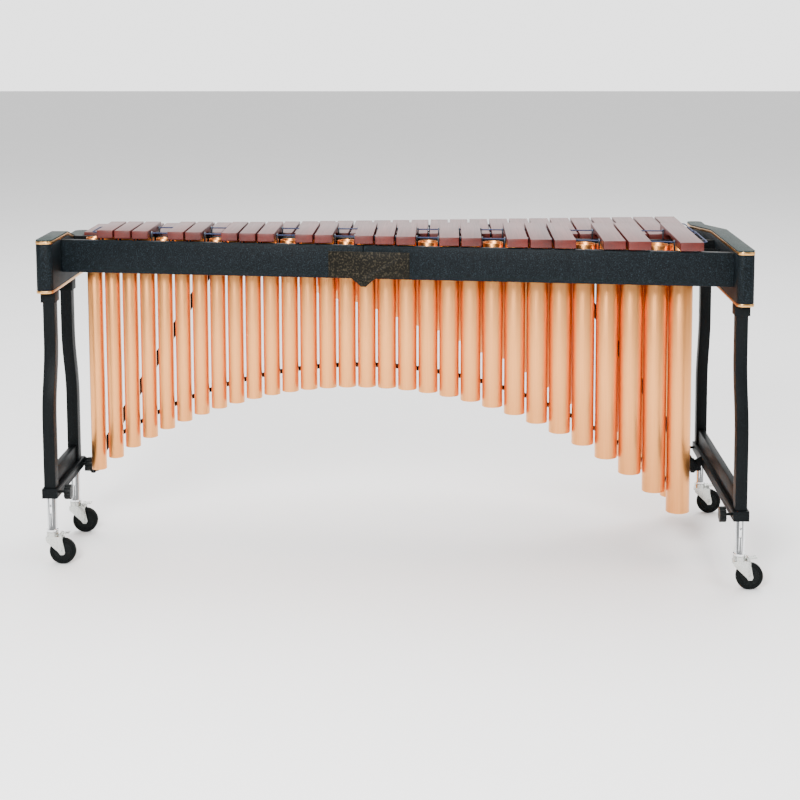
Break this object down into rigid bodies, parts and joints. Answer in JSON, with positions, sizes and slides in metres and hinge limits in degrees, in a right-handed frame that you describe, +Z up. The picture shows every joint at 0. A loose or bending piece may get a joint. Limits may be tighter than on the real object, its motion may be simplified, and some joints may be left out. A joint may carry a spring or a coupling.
{
  "type": "marimba",
  "caption": "Concert marimba with rosewood bars over tubular resonators, on a tapered wheeled frame with height-adjusting legs and braked casters.",
  "frame": {"origin": "on the floor, under the middle of the bounding box, casters trailing towards the low notes", "axes": "+X along the keyboard towards the low notes, +Y towards the player, +Z up"},
  "size_m": [2.0556, 0.926, 0.966],
  "materials": {
    "chrome": "polished chrome plate",
    "zinc_plate": "zinc-plated pressed steel",
    "tyre": "solid black rubber tyre",
    "hub_nylon": "moulded black nylon",
    "knob_plastic": "moulded black plastic",
    "block_black": "fine-textured black paint over wood",
    "gold_trim": "gold-anodised aluminium",
    "panel_grey": "dark textured laminate",
    "plate_hammered": "hammered dark paint on steel",
    "rail_black": "fine-textured black paint",
    "nodal_rail_wood": "black-stained wood",
    "rosewood": "oiled and polished rosewood",
    "cord_fabric": "braided cord",
    "post_steel": "stamped steel in black sleeves",
    "tube_gold": "satin copper-gold anodised aluminium",
    "tube_rail_black": "black painted steel strip",
    "steel_black": "fine-textured black powder coat"
  },
  "bodies": {
    "frame": {"accidental_bars": "rosewood", "accidental_cord": "cord_fabric", "accidental_front_rail": "nodal_rail_wood", "accidental_rear_rail": "nodal_rail_wood", "bar_posts": "post_steel", "front_rail_high": "rail_black", "front_rail_low": "rail_black", "front_resonators": "tube_gold", "front_tube_rails": "tube_rail_black", "front_tube_strap": "tube_rail_black", "high_base_bar": "steel_black", "high_block_trim": "gold_trim", "high_brace": "steel_black", "high_end_block": "block_black", "high_front_leg": "steel_black", "high_rear_leg": "steel_black", "high_stretcher": "steel_black", "high_top_panel": "panel_grey", "low_base_bar": "steel_black", "low_block_trim": "gold_trim", "low_brace": "steel_black", "low_end_block": "block_black", "low_front_leg": "steel_black", "low_rear_leg": "steel_black", "low_stretcher": "steel_black", "low_top_panel": "panel_grey", "natural_bars": "rosewood", "natural_cord": "cord_fabric", "natural_front_rail": "nodal_rail_wood", "natural_rear_rail": "nodal_rail_wood", "rail_joint_plate": "plate_hammered", "rear_rail": "rail_black", "rear_resonators": "tube_gold", "rear_tube_rails": "tube_rail_black"},
    "low_front_post": {"low_front_height_post": "chrome"},
    "low_front_fork": {"low_front_caster_fork": "zinc_plate"},
    "low_front_wheel": {"low_front_caster_tyre": "tyre", "low_front_caster_hub": "hub_nylon"},
    "low_front_pedal": {"low_front_brake_pedal": "zinc_plate"},
    "low_front_knob": {"low_front_height_knob": "knob_plastic"},
    "low_rear_post": {"low_rear_height_post": "chrome"},
    "low_rear_fork": {"low_rear_caster_fork": "zinc_plate"},
    "low_rear_wheel": {"low_rear_caster_tyre": "tyre", "low_rear_caster_hub": "hub_nylon"},
    "low_rear_pedal": {"low_rear_brake_pedal": "zinc_plate"},
    "low_rear_knob": {"low_rear_height_knob": "knob_plastic"},
    "high_front_post": {"high_front_height_post": "chrome"},
    "high_front_fork": {"high_front_caster_fork": "zinc_plate"},
    "high_front_wheel": {"high_front_caster_tyre": "tyre", "high_front_caster_hub": "hub_nylon"},
    "high_front_pedal": {"high_front_brake_pedal": "zinc_plate"},
    "high_front_knob": {"high_front_height_knob": "knob_plastic"},
    "high_rear_post": {"high_rear_height_post": "chrome"},
    "high_rear_fork": {"high_rear_caster_fork": "zinc_plate"},
    "high_rear_wheel": {"high_rear_caster_tyre": "tyre", "high_rear_caster_hub": "hub_nylon"},
    "high_rear_pedal": {"high_rear_brake_pedal": "zinc_plate"},
    "high_rear_knob": {"high_rear_height_knob": "knob_plastic"},
    "low_brace_knob": {"low_brace_knob": "knob_plastic"},
    "high_brace_knob": {"high_brace_knob": "knob_plastic"}
  },
  "joints": [
    {"name": "low_front_height", "type": "slide", "parent": "frame", "child": "low_front_post", "axis": [0, 0, -1], "range_m": [-0.075, 0.05]},
    {"name": "low_front_swivel", "type": "hinge", "parent": "low_front_post", "child": "low_front_fork", "pos_m": [0.96075, -0.44, 0.098], "axis": [0, 0, 1], "continuous": true},
    {"name": "low_front_roll", "type": "hinge", "parent": "low_front_fork", "child": "low_front_wheel", "pos_m": [0.98975, -0.44, 0.038], "axis": [0, 1, 0], "continuous": true},
    {"name": "low_front_brake", "type": "hinge", "parent": "low_front_fork", "child": "low_front_pedal", "pos_m": [0.98575, -0.44, 0.0885], "axis": [0, 1, 0], "range_deg": [0, 18]},
    {"name": "low_front_lock", "type": "hinge", "parent": "frame", "child": "low_front_knob", "pos_m": [0.91175, -0.44, 0.214], "axis": [1, 0, 0], "continuous": true},
    {"name": "low_rear_height", "type": "slide", "parent": "frame", "child": "low_rear_post", "axis": [0, 0, -1], "range_m": [-0.075, 0.05]},
    {"name": "low_rear_swivel", "type": "hinge", "parent": "low_rear_post", "child": "low_rear_fork", "pos_m": [0.96075, 0.232, 0.098], "axis": [0, 0, 1], "continuous": true},
    {"name": "low_rear_roll", "type": "hinge", "parent": "low_rear_fork", "child": "low_rear_wheel", "pos_m": [0.98975, 0.232, 0.038], "axis": [0, 1, 0], "continuous": true},
    {"name": "low_rear_brake", "type": "hinge", "parent": "low_rear_fork", "child": "low_rear_pedal", "pos_m": [0.98575, 0.232, 0.0885], "axis": [0, 1, 0], "range_deg": [0, 18]},
    {"name": "low_rear_lock", "type": "hinge", "parent": "frame", "child": "low_rear_knob", "pos_m": [0.91175, 0.232, 0.214], "axis": [1, 0, 0], "continuous": true},
    {"name": "high_front_height", "type": "slide", "parent": "frame", "child": "high_front_post", "axis": [0, 0, -1], "range_m": [-0.075, 0.05]},
    {"name": "high_front_swivel", "type": "hinge", "parent": "high_front_post", "child": "high_front_fork", "pos_m": [-0.99925, -0.235, 0.098], "axis": [0, 0, 1], "continuous": true},
    {"name": "high_front_roll", "type": "hinge", "parent": "high_front_fork", "child": "high_front_wheel", "pos_m": [-0.97025, -0.235, 0.038], "axis": [0, 1, 0], "continuous": true},
    {"name": "high_front_brake", "type": "hinge", "parent": "high_front_fork", "child": "high_front_pedal", "pos_m": [-0.97425, -0.235, 0.0885], "axis": [0, 1, 0], "range_deg": [0, 18]},
    {"name": "high_front_lock", "type": "hinge", "parent": "frame", "child": "high_front_knob", "pos_m": [-0.95025, -0.235, 0.214], "axis": [-1, 0, 0], "continuous": true},
    {"name": "high_rear_height", "type": "slide", "parent": "frame", "child": "high_rear_post", "axis": [0, 0, -1], "range_m": [-0.075, 0.05]},
    {"name": "high_rear_swivel", "type": "hinge", "parent": "high_rear_post", "child": "high_rear_fork", "pos_m": [-0.99925, 0.046, 0.098], "axis": [0, 0, 1], "continuous": true},
    {"name": "high_rear_roll", "type": "hinge", "parent": "high_rear_fork", "child": "high_rear_wheel", "pos_m": [-0.97025, 0.046, 0.038], "axis": [0, 1, 0], "continuous": true},
    {"name": "high_rear_brake", "type": "hinge", "parent": "high_rear_fork", "child": "high_rear_pedal", "pos_m": [-0.97425, 0.046, 0.0885], "axis": [0, 1, 0], "range_deg": [0, 18]},
    {"name": "high_rear_lock", "type": "hinge", "parent": "frame", "child": "high_rear_knob", "pos_m": [-0.95025, 0.046, 0.214], "axis": [-1, 0, 0], "continuous": true},
    {"name": "low_brace_lock", "type": "hinge", "parent": "frame", "child": "low_brace_knob", "pos_m": [0.91375, 0.096, 0.195], "axis": [0, 1, 0], "continuous": true},
    {"name": "high_brace_lock", "type": "hinge", "parent": "frame", "child": "high_brace_knob", "pos_m": [-0.95225, 0.094, 0.195], "axis": [0, 1, 0], "continuous": true}
  ]
}
